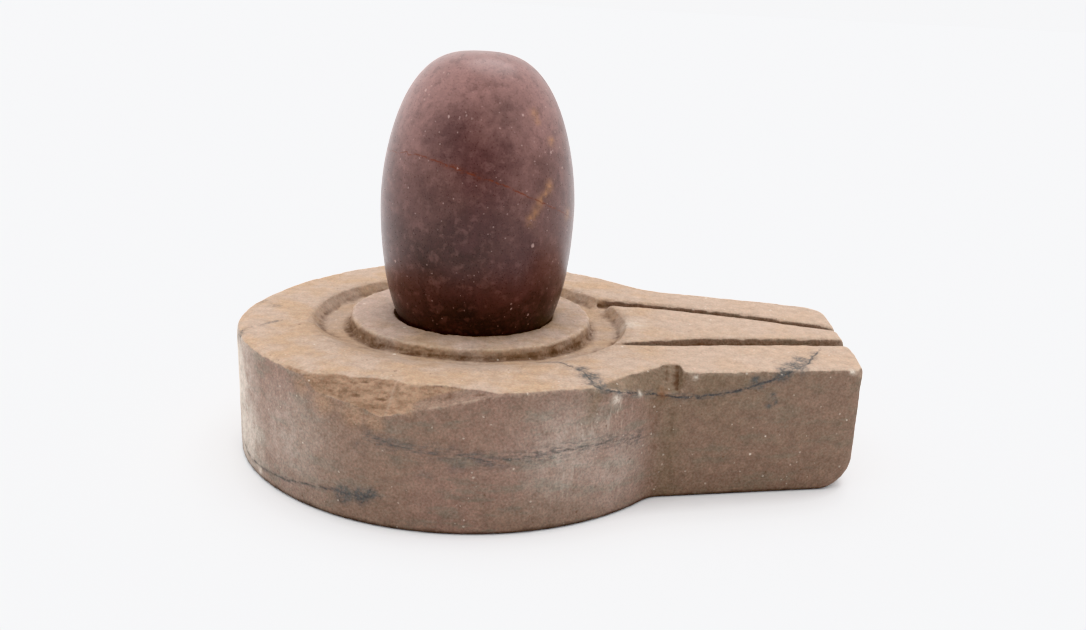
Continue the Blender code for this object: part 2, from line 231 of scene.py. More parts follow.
# White studio: the floor, the backdrop, light from each direction and one wide sun
FLOOR_HALF_SIZE = 150.0
FLOOR_WHITE = rgba(0.955, 0.960, 0.975)
FLOOR_ROUGHNESS = 0.9
BACKDROP_WHITE = rgba(1.475, 1.48, 1.50)
SKY_EVEN = 0.25
SKY_SIDES = (
    ((0, 0, 1), 0.90),
    ((-1, 0, 0), 1.15),
    ((1, 0, 0), 0.80),
    ((0, 1, 0), 0.52),
    ((0, -1, 0), -0.12),
)
SUN_STRENGTH = 1.18
SUN_WIDTH = radians(42)
SUN_TILT = (radians(-19), radians(7), 0)
VIEW_TRANSFORM = "Khronos PBR Neutral"


def on_drum(angle, height):
    """A point on the drum's side, from an angle in degrees and a height in millimetres."""
    turn = radians(angle)
    return (DRUM_RADIUS * 1000 * cos(turn), DRUM_RADIUS * 1000 * sin(turn), height)


def on_stone(angle, height):
    """A point on the stone's side, in millimetres, from an angle in degrees and a height."""
    rise = (height - STONE_HIGH.z * 1000) / (STONE_UPPER_HEIGHT * 1000) + 1
    reach, (power, root) = 1.0, STONE_UPPER_SHAPE
    if rise < 0:
        reach, (power, root) = STONE_UPPER_HEIGHT / STONE_LOWER_HEIGHT, STONE_LOWER_SHAPE
    radius = STONE_RADIUS * 1000 * max(0.0, 1 - abs(rise * reach) ** power) ** (1 / root)
    return (STONE_CENTRE_X * 1000 + radius * cos(radians(angle)), radius * sin(radians(angle)), height)


# Veins in the sandstone, as points in millimetres
BREAK_VEIN = (
    [(25.6, -35.8, RIM_MM), (31.4, -40.5, RIM_MM), (36.7, -45.7, RIM_MM), (40.1, -55.6, RIM_MM)]
    + [on_drum(-51.3, 37.7), on_drum(-45.3, 35.4), on_drum(-36.9, 32.6)]
    + [(59.8, -42.5, 32.0), (63.1, -41.8, 31.6), (68.7, -40.4, 31.2), (74.2, -39.2, 32.0)]
    + [(79.7, -37.9, 32.5), (85.1, -36.6, 34.5), (90.5, -35.3, 36.2), (94.7, -34.3, RIM_MM)]
    + [(100.0, -26.1, RIM_MM), (104.9, -14.4, RIM_MM)]
)
MIDDLE_VEIN = [
    on_drum(angle, height) for angle, height in (
        (-103.4, 25.3), (-97.0, 23.8), (-90.6, 23.5), (-82.2, 22.4), (-78.0, 21.2), (-71.7, 21.5),
        (-62.8, 22.6), (-52.8, 23.1), (-40.5, 21.2))
]
LOW_VEIN = [
    on_drum(angle, height) for angle, height in (
        (-152.0, 5.0), (-147.2, 3.6), (-138.6, 3.9), (-130.0, 4.9), (-122.6, 6.2), (-113.7, 7.7),
        (-106.0, 8.0), (-102.5, 8.9))
]
RIM_VEIN = [
    (-64.9, -33.9, RIM_MM), (-63.5, -29.8, RIM_MM), (-61.1, -26.3, RIM_MM), (-58.4, -22.7, RIM_MM),
    (-55.7, -19.0, RIM_MM)]

# Each vein with half its halo's width in metres, and the strengths of its line and of its halo
VEINS = (
    (BREAK_VEIN, 0.0019, 0.85, 1.1),
    (MIDDLE_VEIN, 0.0038, 0.25, 0.95),
    (LOW_VEIN, 0.0014, 0.6, 0.9),
    (RIM_VEIN, 0.0018, 0.4, 1.0),
)

# Coloured and worn places on the sandstone, some also painted light and shade: centre and radius in
# millimetres, strength
STAINS = (
    (on_drum(-110.5, 7.4), 3.2, 1.0), (on_drum(-106.0, 8.2), 2.6, 1.0),
    (on_drum(-103.5, 9.6), 1.8, 0.9), (on_drum(-85.0, 20.0), 3.2, 0.5),
    (on_drum(-80.0, 21.5), 2.4, 0.5), (on_drum(-99.0, 24.5), 3.0, 0.4),
    (on_drum(-92.0, 17.0), 3.5, 0.3), (on_drum(-106.0, 22.0), 3.0, 0.3),
    ((36.1, -43.1, RIM_MM), 2.6, 0.8), ((38.4, -48.3, RIM_MM), 3.4, 1.0),
    ((40.6, -53.2, RIM_MM), 3.0, 0.9), ((92.7, -34.5, RIM_MM), 3.0, 1.0),
    ((96.2, -28.4, RIM_MM), 3.8, 1.0), ((99.0, -22.5, RIM_MM), 3.0, 0.9),
    ((103.5, -15.0, RIM_MM), 2.0, 0.5), ((84.7, -36.7, 36.1), 1.6, 1.0),
    ((86.5, -36.2, 34.5), 1.4, 0.9), ((90.4, -35.3, 31.0), 1.4, 0.8),
    ((89.9, -35.4, 28.0), 1.1, 0.8), ((92.0, -35.0, 29.0), 0.9, 0.7),
    ((-67.0, 1.0, RIM_MM), 2.5, 0.5), ((-61.4, -4.1, RIM_MM), 2.5, 0.5),
    ((-66.5, -31.0, 36.5), 2.5, 0.5),
)
RUST_SPOTS = (((60.5, -44.5, 36.0), 1.8, 0.7), ((61.0, -43.5, 34.0), 1.0, 0.5))
CHALK_SPOTS = (
    ((55.6, -48.0, 37.0), 0.8, 0.7), ((68.0, -41.5, 37.8), 0.7, 0.7),
    ((112.5, -27.5, 38.0), 0.8, 1.0), ((50.5, 2.0, 36.0), 4.0, 0.5),
    (on_drum(-140.0, 2.5), 1.2, 0.8), (on_drum(-49.0, 34.5), 1.4, 0.8),
)
SCRATCHED_SPOTS = (
    (on_drum(-57.0, 27.0), 5.0, 0.20), (on_drum(-48.0, 30.0), 5.0, 0.28),
    (on_drum(-60.0, 14.0), 7.0, 0.16),
)
# Pale dust on the drum; on its left side the pale patches are also painted light where light grazes it.
DUST_AND_SIDE_LIGHT_SPOTS = (
    (on_drum(-172.0, 26.0), 22.0, 0.8), (on_drum(-157.0, 25.0), 18.0, 1.0),
    (on_drum(-150.0, 12.0), 15.0, 0.85), (on_drum(-128.0, 18.0), 16.0, 0.30),
    (on_drum(-60.0, 22.0), 13.0, 0.32), (on_drum(-48.0, 14.0), 12.0, 0.26),
    (on_drum(160.0, 18.0), 20.0, 0.5), (on_drum(100.0, 20.0), 18.0, 0.4),
)
TOOLED_SPOTS = tuple(
    ((61.8, -40.9 + 0.05 * (36 - z), z), 4.0, 0.8) for z in (2.0, 8.0, 14.0, 20.0, 26.0))
# Olive tint: the stone's colour near the broken corner's top, and along the drum–spout seam also
# painted shade of the seam.
OLIVE_AND_SEAM_SHADE_SPOTS = TOOLED_SPOTS + (
    ((60.0, -44.0, 36.0), 6.0, 1.0), ((72.0, -40.0, 35.5), 7.0, 0.9), ((82.0, -38.0, 35.5), 5.0, 0.7))
WORN_SPOTS = (
    (on_drum(-120.0, 35.0), 6.0, 0.8), (on_drum(-112.0, 32.0), 6.0, 0.8),
    (on_drum(-104.0, 30.0), 5.0, 0.5), (on_drum(-94.0, 34.0), 5.0, 0.2),
)
TAN_SPOTS = (
    (on_drum(-122.0, 35.0), 4.0, 0.8), (on_drum(-115.0, 32.5), 5.0, 0.9),
    (on_drum(-108.0, 31.0), 5.0, 0.9), (on_drum(-103.0, 29.5), 4.0, 0.8),
    (on_drum(-112.0, 28.0), 5.0, 0.4),
)
PITS = (
    ((-36.7, -13.8, 35.7), 0.55, 1.0), ((-48.9, -20.2, RIM_MM), 0.50, 0.9),
    ((-13.0, -54.5, RIM_MM), 0.60, 0.7),
)
BASE_MARKS = {
    "stain": STAINS,
    "rust": RUST_SPOTS,
    "chalk": CHALK_SPOTS,
    "olive_and_seam_shade": OLIVE_AND_SEAM_SHADE_SPOTS,
    "scratched": SCRATCHED_SPOTS,
    "dust_and_side_light": DUST_AND_SIDE_LIGHT_SPOTS,
    "tan": TAN_SPOTS,
}

# River stone's rust-lined crack, with the same settings as a vein of the sandstone
RUST_CRACK = [
    on_stone(angle, height) for angle, height in (
        (-170, 91), (-151.8, 90.7), (-123.7, 91.7), (-111, 90.7), (-98.2, 89.4), (-87.6, 87.6),
        (-70.7, 85.4), (-58.9, 82.8), (-49.2, 80.6), (-36.1, 77.8), (-17.3, 73.8), (0, 70.5), (18, 68))
]
STONE_VEINS = ((RUST_CRACK, 0.0016, 1.0, 0.6),)

# Coloured clouds and spots on the river stone: centre and radius in millimetres, strength
MAROON_SPOTS = (
    (on_stone(-98, 97), 11.0, 1.0), (on_stone(-82, 90), 11.0, 0.95), (on_stone(-70, 92), 8.0, 0.8),
    (on_stone(-76, 82), 8.0, 0.7), (on_stone(-44, 52), 13.0, 0.9), (on_stone(-80, 72), 13.0, 0.75),
    (on_stone(-62, 63), 13.0, 0.9), (on_stone(-114, 84), 9.0, 0.5), (on_stone(-84, 50), 12.0, 0.8),
    (on_stone(60, 80), 16.0, 0.9), (on_stone(150, 60), 15.0, 0.9),
)
SLATE_SPOTS = (
    (on_stone(-130, 66), 13.0, 0.55), (on_stone(-110, 62), 15.0, 0.9),
    (on_stone(-90, 54), 14.0, 1.0), (on_stone(-88, 68), 13.0, 1.0), (on_stone(-72, 60), 13.0, 0.8),
    (on_stone(-106, 80), 9.0, 0.5), (on_stone(-66, 104), 8.0, 0.45), (on_stone(20, 95), 14.0, 0.8),
    (on_stone(110, 75), 18.0, 0.9),
)
RUSTY_SPOTS = (
    (on_stone(-95, 89), 7.0, 1.0), (on_stone(-118, 91), 5.0, 0.5), (on_stone(-50, 81), 6.0, 0.4),
)
OCHRE_SPOTS = (
    (on_stone(-32.5, 96.6), 1.3, 1.0), (on_stone(-39, 84), 1.4, 0.9), (on_stone(-42, 82), 1.2, 0.8),
    (on_stone(-46, 80), 1.3, 0.9), (on_stone(-49.5, 77.5), 1.2, 0.7),
    (on_stone(-52.5, 75), 1.3, 0.8), (on_stone(-43, 104), 1.3, 0.6), (on_stone(-42, 102), 0.9, 0.8),
    (on_stone(-20, 75), 1.6, 0.6), (on_stone(70, 70), 2.4, 0.7),
)
STONE_MARKS = {
    "maroon": MAROON_SPOTS,
    "slate": SLATE_SPOTS,
    "ochre": OCHRE_SPOTS,
    "rusty": RUSTY_SPOTS,
}


def ease(value, low, high):
    """Smooth step from 0 at low to 1 at high, for numbers and arrays."""
    share = np.clip((value - low) / (high - low), 0.0, 1.0)
    return share * share * (3 - 2 * share)


def shared_edges(mesh):
    """Both ends of each edge, as two arrays of vertex numbers."""
    ends = np.empty(len(mesh.edges) * 2, np.int64)
    mesh.edges.foreach_get("vertices", ends)
    return ends[0::2], ends[1::2]


def points_of(mesh):
    flat = np.empty(len(mesh.vertices) * 3, np.float64)
    mesh.vertices.foreach_get("co", flat)
    return flat.reshape(-1, 3)


def normals_of(mesh):
    flat = np.empty(len(mesh.vertices) * 3, np.float64)
    mesh.vertex_normals.foreach_get("vector", flat)
    return flat.reshape(-1, 3)


def smoothed(values, edges, rounds, share=0.5):
    """Values drawn towards the mean of their neighbours, by this share a round."""
    first, second = edges
    count = np.bincount(first, minlength=len(values)) + np.bincount(second, minlength=len(values))
    count = np.maximum(count, 1)[:, None]
    values = values.copy()
    weight = np.broadcast_to(np.asarray(share, float).reshape(-1, 1), (len(values), 1))
    for _ in range(rounds):
        total = np.empty_like(values)
        for axis in range(values.shape[1]):
            column = values[:, axis]
            total[:, axis] = np.bincount(first, column[second], len(values))
            total[:, axis] += np.bincount(second, column[first], len(values))
        values += weight * (total / count - values)
    return values


def plain_copy(item, name):
    """The evaluated object as a plain mesh object, its modifiers left behind."""
    depsgraph = bpy.context.evaluated_depsgraph_get()
    mesh = bpy.data.meshes.new_from_object(item.evaluated_get(depsgraph), depsgraph=depsgraph)
    mesh.name = name
    made = bpy.data.objects.new(name, mesh)
    bpy.context.scene.collection.objects.link(made)
    bpy.data.objects.remove(item)
    return made


def write_points(mesh, points):
    mesh.vertices.foreach_set("co", points.astype(np.float32).ravel())
    mesh.update()


def write_values(mesh, name, values):
    layer = mesh.attributes.new(name, "FLOAT", "POINT")
    layer.data.foreach_set("value", values.astype(np.float32))


def fractal(points, size, seed, octaves, stretch=(1.0, 1.0, 1.0)):
    """Layered noise about 0 at each point, from features of this size down."""
    offset = Vector([seed * step for step in SEED_STEPS])
    placed = points * np.array(stretch)
    return np.array([
        noise.fractal(Vector(point) / size + offset, 1.0, 2.0, octaves) for point in placed])


def nearest_on_line(points, line):
    """Squared distance, nearest point and direction of the line's nearest stretch."""
    best = np.full(len(points), np.inf)
    near = np.zeros_like(points)
    along = np.zeros_like(points)
    for start, end in zip(line, line[1:]):
        run = end - start
        share = np.clip((points - start) @ run / (run @ run), 0.0, 1.0)
        foot = start + share[:, None] * run
        distance = ((points - foot) ** 2).sum(1)
        closer = distance < best
        best[closer] = distance[closer]
        near[closer] = foot[closer]
        along[closer] = run / np.linalg.norm(run)
    return best, near, along


def vein_values(points, normals, veins):
    """Signed distance from the nearest vein, the width of its halo, and both its strengths."""
    offset = np.full(len(points), VEIN_REACH)
    spread = np.full(len(points), PLAIN_SPREAD)
    strength = np.zeros((len(points), 2))
    for line, halo, *powers in veins:
        squared, near, along = nearest_on_line(points, np.array(line) / 1000)
        distance = np.sqrt(squared)
        side = np.sign((np.cross(normals, along) * (points - near)).sum(1) + 1e-12)
        closer = distance < np.abs(offset)
        offset[closer] = (distance * side)[closer]
        fades = (VEIN_LINE_FADE, VEIN_HALO_FADE)
        near_share = np.stack([1 - ease(distance, *fade) for fade in fades], 1)
        strength[closer] = (near_share * np.array(powers))[closer]
        spread[closer] = halo
    return offset, spread, strength[:, 0], strength[:, 1]


def write_veins(mesh, points, normals, veins):
    values = vein_values(points, normals, veins)
    for name, value in zip(("vein_offset", "vein_spread", "vein_line", "vein_halo"), values):
        write_values(mesh, name, value)


def on_skin(item, place):
    """The nearest point of the piece's own surface, both in millimetres."""
    return tuple(item.closest_point_on_mesh(Vector(place) / 1000)[1] * 1000)


def spot_values(points, spots):
    """Strongest of some soft round spots: centre and radius in millimetres, strength."""
    value = np.zeros(len(points))
    for centre, radius, strength in spots:
        squared = ((points * 1000 - np.array(centre)) ** 2).sum(1) / radius ** 2
        value = np.maximum(value, strength * np.exp(-squared))
    return value


def chip_cut(points):
    """How deep a point lies inside the unbroken near rim of drum and spout, in metres."""
    x, y, z = points.T
    fall = 1 - z / RIM_HEIGHT
    drum = DRUM_RADIUS - DRUM_DRAFT * fall - np.hypot(x, y)
    run = SPOUT_WALL_TIP - SPOUT_WALL_ROOT
    wall = (run.x * (y - SPOUT_WALL_ROOT.y) - run.y * (x - SPOUT_WALL_ROOT.x)) / run.length
    wall -= SPOUT_WALL_DRAFT * fall
    inside = np.where(x > SPOUT_WALL_ROOT.x - CORNER_OVERLAP, np.maximum(drum, wall), drum)
    return np.minimum(RIM_HEIGHT - z, inside)


def chip_shares(points):
    """Shares of the rough scar, the smooth scoop, the broken corner and the worn near edge."""
    x, y, z = points.T
    angle = np.degrees(np.arctan2(y, x))
    cut = ease(chip_cut(points), *CHIP_DEPTH) * (np.hypot(x, y) > CHIP_REACH)
    cut *= ease(z, *CHIP_FOOT)
    past_scar = ease(angle, *SCOOP_START)
    scar = cut * ease(angle, *SCAR_START) * (1 - past_scar)
    leaning = ease(angle + EDGE_SLANT * (RIM_HEIGHT - z), *EDGE_SLANT_START) * ease(angle, *EDGE_START)
    scoop = cut * past_scar * (1 - leaning)
    broken = cut * ease(x, *BREAK_START) * (1 - ease(x, *BREAK_END))
    edge = cut * leaning * (1 - ease(angle, *EDGE_END))
    return scar, scoop, broken * (y < BREAK_Y), edge


def hollow_measure(points, normals, edges):
    """Positive in hollows and negative on arrises, about 1 where either is clear."""
    drawn = smoothed(points, edges, HOLLOW_ROUNDS)
    rise = ((drawn - points) * normals).sum(1)
    return np.clip(rise / HOLLOW_FULL_DEPTH, -HOLLOW_LIMIT, HOLLOW_LIMIT)


def wear_near_side(points):
    """Lean the top of the drum's near wall inwards and fill up the moat's shallow front."""
    x, y, z = points.T
    reach = np.hypot(x, y)
    angle = np.degrees(np.arctan2(y, x))
    near = ease(angle, *LEAN_START) * (1 - ease(angle, *LEAN_END))
    lean = NEAR_LEAN * near * ease(reach, *LEAN_RIM) * ease(z, LEAN_FOOT, RIM_HEIGHT)
    front = ease(angle, *FILL_START) * (1 - ease(angle, *FILL_END))
    trough = (reach > FILL_INNER) * (1 - ease(reach, *FILL_OUTER))
    fill = FRONT_FILL * front * trough * np.clip(RIM_HEIGHT - z, 0.0, FILL_DEEPEST)
    inwards = np.stack([-x / reach, -y / reach, np.zeros(len(x))], 1)
    return points + inwards * lean[:, None] + np.outer(fill, (0, 0, 1))


def soften(mesh):
    """Round the arrises a little and clear the solid's facets off its plain faces."""
    edges = shared_edges(mesh)
    points = smoothed(wear_near_side(points_of(mesh)), edges, EDGE_SOFTENING_ROUNDS)
    flat = smoothed(points, edges, FACET_SOFTENING_ROUNDS)
    moved = np.linalg.norm(flat - points, axis=1)
    plain = smoothed(1 - ease(moved, *PLAIN_MOVE)[:, None], edges, PLAIN_ROUNDS)
    points += (flat - points) * plain
    write_points(mesh, smoothed(points, edges, WORN_ROUNDS, WORN_PULL * worn_share(points)))


def worn_share(points):
    """Where edges are rubbed round: the rim's left side, the scar, the spout's end and the grooves."""
    x, y, z = points.T
    high = ease(z, *WORN_HEIGHT)
    reach = x * cos(WORN_SIDE_ANGLE) + y * sin(WORN_SIDE_ANGLE)
    worn = np.maximum(high * ease(reach, *WORN_SIDE), LIGHT_WEAR * high * ease(x, *WORN_END))
    for along, across in GROOVES:
        off = np.abs(y - np.interp(x, along, across))
        beside = LIGHT_WEAR * high * (1 - ease(off, *GROOVE_EDGE)) * ease(x, *GROOVE_START)
        worn = np.maximum(worn, beside)
    return np.maximum(worn, spot_values(points, WORN_SPOTS))


def weather(mesh):
    """Push the surface in and out: dressing marks, unevenness, chipped arrises, scar and pits."""
    edges = shared_edges(mesh)
    points = points_of(mesh)
    normals = normals_of(mesh)
    hollow = hollow_measure(points, normals, edges)
    scar, scoop, broken, _ = chip_shares(points)
    shift = SWELL_DEPTH * fractal(points, *SWELL)
    shift += DIMPLE_DEPTH * fractal(points, *DIMPLES)
    shift += DRESSING_DEPTH * fractal(points, *DRESSING)
    arris = ease(-hollow, *ARRIS_SHARPNESS)
    shift -= ARRIS_CHIP_DEPTH * arris * ease(fractal(points, *ARRIS_CHIPS), *ARRIS_CHIP_SHARE)
    ledges = fractal(points, *LEDGES)
    shift += scar * SCAR_DEPTH * ledges + (scoop + broken) * BREAK_DEPTH * ledges
    shift += TOOLING_DEPTH * fractal(points, *TOOLING) * spot_values(points, TOOLED_SPOTS)
    reach = np.hypot(points[:, 0], points[:, 1])
    lip = 1 - ease(np.abs(reach - SEAT_RADIUS), *LIP_BAND)
    shift += lip * LIP_DEPTH * fractal(points, *RAGGED_LIP)
    shift -= PIT_DEPTH * spot_values(points, PITS)
    foot = ease(points[:, 2], *STILL_FOOT)
    write_points(mesh, points + normals * (shift * foot)[:, None])


def make_base_mesh():
    """The base's solid as one fine skin, then softened, weathered and thinned."""
    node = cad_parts["yoni_base"]
    shape = bmesh.new()
    shape.from_mesh(node.data)
    bmesh.ops.remove_doubles(shape, verts=shape.verts, dist=WELD_DISTANCE)
    mesh = bpy.data.meshes.new("yoni_base_skin")
    shape.to_mesh(mesh)
    shape.free()
    item = bpy.data.objects.new("yoni_base_skin", mesh)
    bpy.context.scene.collection.objects.link(item)
    remesh = item.modifiers.new("fine_skin", "REMESH")
    remesh.mode = "VOXEL"
    remesh.voxel_size = VOXEL
    remesh.adaptivity = 0.0
    item = plain_copy(item, "yoni_base_skin")
    soften(item.data)
    weather(item.data)
    item.data.calc_loop_triangles()
    thin = item.modifiers.new("thinned", "DECIMATE")
    thin.ratio = min(1.0, BASE_TRIANGLES / len(item.data.loop_triangles))
    item = plain_copy(item, "sandstone_yoni")
    item.data.shade_smooth()
    return item


def tint_shares(points):
    """Shares of the seat's top, the painted shade in the gap beside it, the carved ring and the spout.
    """
    x, y, z = points.T
    reach = np.hypot(x, y)
    shaded = 0.5 + 0.5 * ease(y - x, *SEAT_SHADE)
    beside = 1 - ease(np.abs(reach - SEAT_RADIUS - CREVICE_OFFSET), *CREVICE_BAND)
    facing = ease(-y / np.maximum(reach, 0.001), *CREVICE_FRONT)
    front = CREVICE_BACK_SHARE + (1 - CREVICE_BACK_SHARE) * facing
    return {
        "inner": shaded * (1 - ease(reach, *SEAT_TINT)),
        "crevice": beside * front * (1 - ease(z, *CREVICE_TOP)),
        "carved": 1 - ease(reach, *CARVED_END),
        "spout": ease(x, *SPOUT_START),
    }


def store_base_marks(item):
    """Per-point values that the sandstone's finish reads."""
    bpy.context.view_layer.update()
    mesh = item.data
    points = points_of(mesh)
    normals = normals_of(mesh)
    edges = shared_edges(mesh)
    write_values(mesh, "hollow", hollow_measure(points, normals, edges))
    for name, share in zip(("scar", "scoop", "broken", "edge"), chip_shares(points)):
        write_values(mesh, name, share)
    for name, share in tint_shares(points).items():
        write_values(mesh, name, share)
    veins = [([on_skin(item, place) for place in line], *settings) for line, *settings in VEINS]
    write_veins(mesh, points, normals, veins)
    for name, spots in BASE_MARKS.items():
        spots = [(on_skin(item, place), *settings) for place, *settings in spots]
        write_values(mesh, name, spot_values(points, spots))


class Board:
    """Lays nodes into a tree and joins them up."""

    def __init__(self, tree):
        self.tree = tree

    def feed(self, socket, value):
        if isinstance(value, bpy.types.NodeSocket):
            self.tree.links.new(value, socket)
        elif value is not None:
            socket.default_value = value

    def add(self, kind, inputs=None, **settings):
        node = self.tree.nodes.new(kind)
        for name, value in settings.items():
            setattr(node, name, value)
        for key, value in (inputs or {}).items():
            self.feed(node.inputs[key], value)
        return node

    def math(self, operation, first, second=None, third=None, clamp=False):
        node = self.add("ShaderNodeMath", operation=operation, use_clamp=clamp)
        for socket, value in zip(node.inputs, (first, second, third)):
            self.feed(socket, value)
        return node.outputs[0]

    def remap(self, value, low, high, to_low=0.0, to_high=1.0):
        node = self.add("ShaderNodeMapRange", {
            "Value": value, "From Min": low, "From Max": high, "To Min": to_low, "To Max": to_high},
            interpolation_type="SMOOTHSTEP")
        return node.outputs["Result"]

    def blend(self, share, first, second, kind="MIX"):
        node = self.add("ShaderNodeMix", data_type="RGBA", blend_type=kind)
        self.feed(node.inputs["Factor"], share)
        self.feed(node.inputs[6], first)
        self.feed(node.inputs[7], second)
        return node.outputs[2]

    def noise(self, vector, scale, detail=2.0, roughness=0.5, distortion=0.0):
        node = self.add("ShaderNodeTexNoise", {
            "Vector": vector, "Scale": scale, "Detail": detail, "Roughness": roughness,
            "Distortion": distortion})
        return node.outputs[0]

    def stretched(self, vector, factors):
        node = self.add("ShaderNodeVectorMath", {0: vector, 1: factors}, operation="MULTIPLY")
        return node.outputs[0]

    def grey(self, value):
        return self.add("ShaderNodeCombineXYZ", {0: value, 1: value, 2: value}).outputs[0]

    def attribute(self, name):
        return self.add("ShaderNodeAttribute", attribute_name=name).outputs["Fac"]

    def group(self, tree, inputs):
        return self.add("ShaderNodeGroup", inputs, node_tree=tree).outputs


def new_group(name, kind, inputs, outputs):
    """An empty node group with named sockets, its board, and its two end nodes."""
    tree = bpy.data.node_groups.new(name, kind)
    for direction, sockets in (("INPUT", inputs), ("OUTPUT", outputs)):
        for label, socket_kind, value in sockets:
            socket = tree.interface.new_socket(label, in_out=direction, socket_type=socket_kind)
            if value is not None:
                socket.default_value = value
    board = Board(tree)
    return tree, board, board.add("NodeGroupInput").outputs, board.add("NodeGroupOutput").inputs


FLOAT = "NodeSocketFloat"
VECTOR = "NodeSocketVector"
GEOMETRY = "NodeSocketGeometry"


def grain_group():
    """Fine mineral grain: a tone about 1, a second mask for its tint, and a height."""
    tree, board, given, out = new_group(
        "mineral grain", "ShaderNodeTree",
        [("Vector", VECTOR, None), ("Grain Size", FLOAT, 0.0005), ("Contrast", FLOAT, 0.2)],
        [("Tone", FLOAT, None), ("Tint", FLOAT, None), ("Height", FLOAT, None)])
    scale = board.math("DIVIDE", 1.0, given["Grain Size"])
    fine = board.noise(given["Vector"], scale, 2.0, 0.65)
    swing = board.math("MULTIPLY", board.math("SUBTRACT", fine, 0.5), given["Contrast"])
    board.feed(out["Tone"], board.math("ADD", swing, 1.0))
    mirrored = board.stretched(given["Vector"], (-1.0, 1.0, 1.0))
    board.feed(out["Tint"], board.remap(board.noise(mirrored, scale, 1.0, 0.5), 0.3, 0.7))
    board.feed(out["Height"], fine)
    return tree


def fleck_group():
    """Scattered mineral flecks: a mask of small uneven spots."""
    tree, board, given, out = new_group(
        "mineral flecks", "ShaderNodeTree",
        [("Vector", VECTOR, None), ("Spacing", FLOAT, 0.006), ("Radius", FLOAT, 0.0004),
         ("Share", FLOAT, 0.4)],
        [("Mask", FLOAT, None)])
    cells = board.add("ShaderNodeTexVoronoi", {
        "Vector": given["Vector"], "Scale": board.math("DIVIDE", 1.0, given["Spacing"])})
    picked = board.add("ShaderNodeSeparateColor", {"Color": cells.outputs["Color"]})
    wobble = board.noise(given["Vector"], board.math("DIVIDE", 0.8, given["Radius"]), 2.0, 0.7)
    distance = board.math("MULTIPLY", cells.outputs["Distance"], given["Spacing"])
    radius = board.math("MULTIPLY", given["Radius"], board.math("ADD", picked.outputs[0], 0.3))
    radius = board.math("MULTIPLY", radius, board.math("MULTIPLY_ADD", wobble, 2.4, -0.2))
    spot = board.remap(board.math("DIVIDE", distance, radius), 1.0, 0.6)
    chosen = board.math("LESS_THAN", picked.outputs[1], given["Share"])
    board.feed(out["Mask"], board.math("MULTIPLY", spot, chosen))
    return tree


def vein_group():
    """A mineral vein along a signed distance: a thin broken line in a soft speckled halo."""
    tree, board, given, out = new_group(
        "mineral vein", "ShaderNodeTree",
        [("Vector", VECTOR, None), ("Offset", FLOAT, 0.005), ("Spread", FLOAT, 0.001),
         ("Line Strength", FLOAT, 0.0), ("Halo Strength", FLOAT, 0.0), ("Line Width", FLOAT, 0.00055),
         ("Wander", FLOAT, 0.0016)],
        [("Line", FLOAT, None), ("Halo", FLOAT, None)])
    drift = board.math("SUBTRACT", board.noise(given["Vector"], 260.0, 4.0, 0.6), 0.5)
    offset = board.math("ADD", given["Offset"], board.math("MULTIPLY", drift, given["Wander"]))
    distance = board.math("ABSOLUTE", offset)
    broken = board.remap(board.noise(given["Vector"], 380.0, 4.0, 0.75), 0.36, 0.54)
    line = board.remap(distance, given["Line Width"], 0.0)
    line = board.math("MULTIPLY", line, broken)
    flattened = board.stretched(given["Vector"], (1.0, 1.0, 4.0))
    speckle = board.remap(board.noise(flattened, 380.0, 4.0, 0.7), 0.42, 0.62)
    halo = board.remap(distance, given["Spread"], 0.0)
    halo = board.math("MULTIPLY", halo, speckle)
    board.feed(out["Line"], board.math("MULTIPLY", line, given["Line Strength"]))
    board.feed(out["Halo"], board.math("MULTIPLY", halo, given["Halo Strength"]))
    return tree


def vein_inputs(board, spot):
    """What the vein group reads from a piece's own point values."""
    sources = {"Offset": "vein_offset", "Spread": "vein_spread", "Line Strength": "vein_line",
               "Halo Strength": "vein_halo"}
    return {"Vector": spot} | {key: board.attribute(name) for key, name in sources.items()}


def new_material(name):
    material = bpy.data.materials.new(name)
    material.use_nodes = True
    board = Board(material.node_tree)
    return material, board, material.node_tree.nodes["Principled BSDF"].inputs


